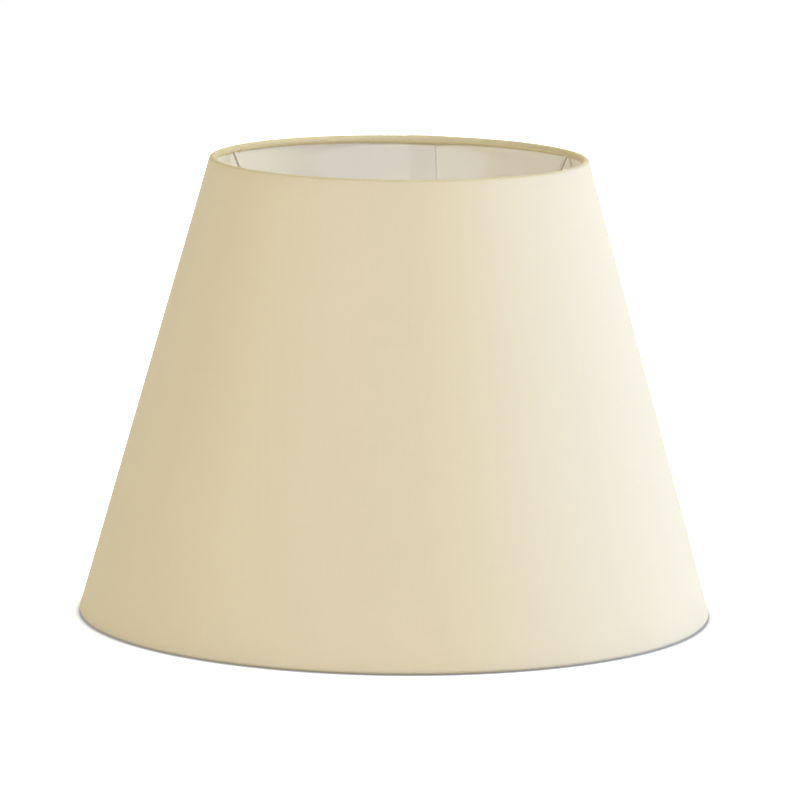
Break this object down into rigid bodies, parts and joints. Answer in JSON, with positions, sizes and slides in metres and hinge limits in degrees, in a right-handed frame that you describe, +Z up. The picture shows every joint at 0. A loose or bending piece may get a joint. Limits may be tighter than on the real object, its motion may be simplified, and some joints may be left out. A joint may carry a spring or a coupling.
{
  "type": "lamp shade",
  "caption": "Tapered round fabric lamp shade with rolled rims, a plastic liner, and a recessed wire spider with a washer for a harp.",
  "frame": {"origin": "on the shade's axis, in the plane its bottom rim stands on", "axes": "+Z up the axis towards the narrow end; -Y is the side nearest the viewer, which has the front leg of the spider; +X is to the viewer's right"},
  "size_m": [0.4002, 0.4002, 0.291],
  "materials": {
    "cover_cloth": "fine plain-weave cream cloth, matt",
    "liner_plastic": "off-white translucent sheet, satin",
    "frame_wire": "plated steel wire, satin",
    "sticky_tape": "off-white double-sided tape"
  },
  "bodies": {
    "root": {"top_ring": "frame_wire", "bottom_ring": "frame_wire", "top_ring_tape": "sticky_tape", "bottom_ring_tape": "sticky_tape", "spider_leg_right": "frame_wire", "spider_leg_left": "frame_wire", "spider_leg_front": "frame_wire", "hub_washer": "frame_wire", "liner_panel": "liner_plastic", "cover_panel": "cover_cloth", "seam_tape": "sticky_tape", "top_rolled_hem": "cover_cloth", "bottom_rolled_hem": "cover_cloth"}
  },
  "joints": []
}
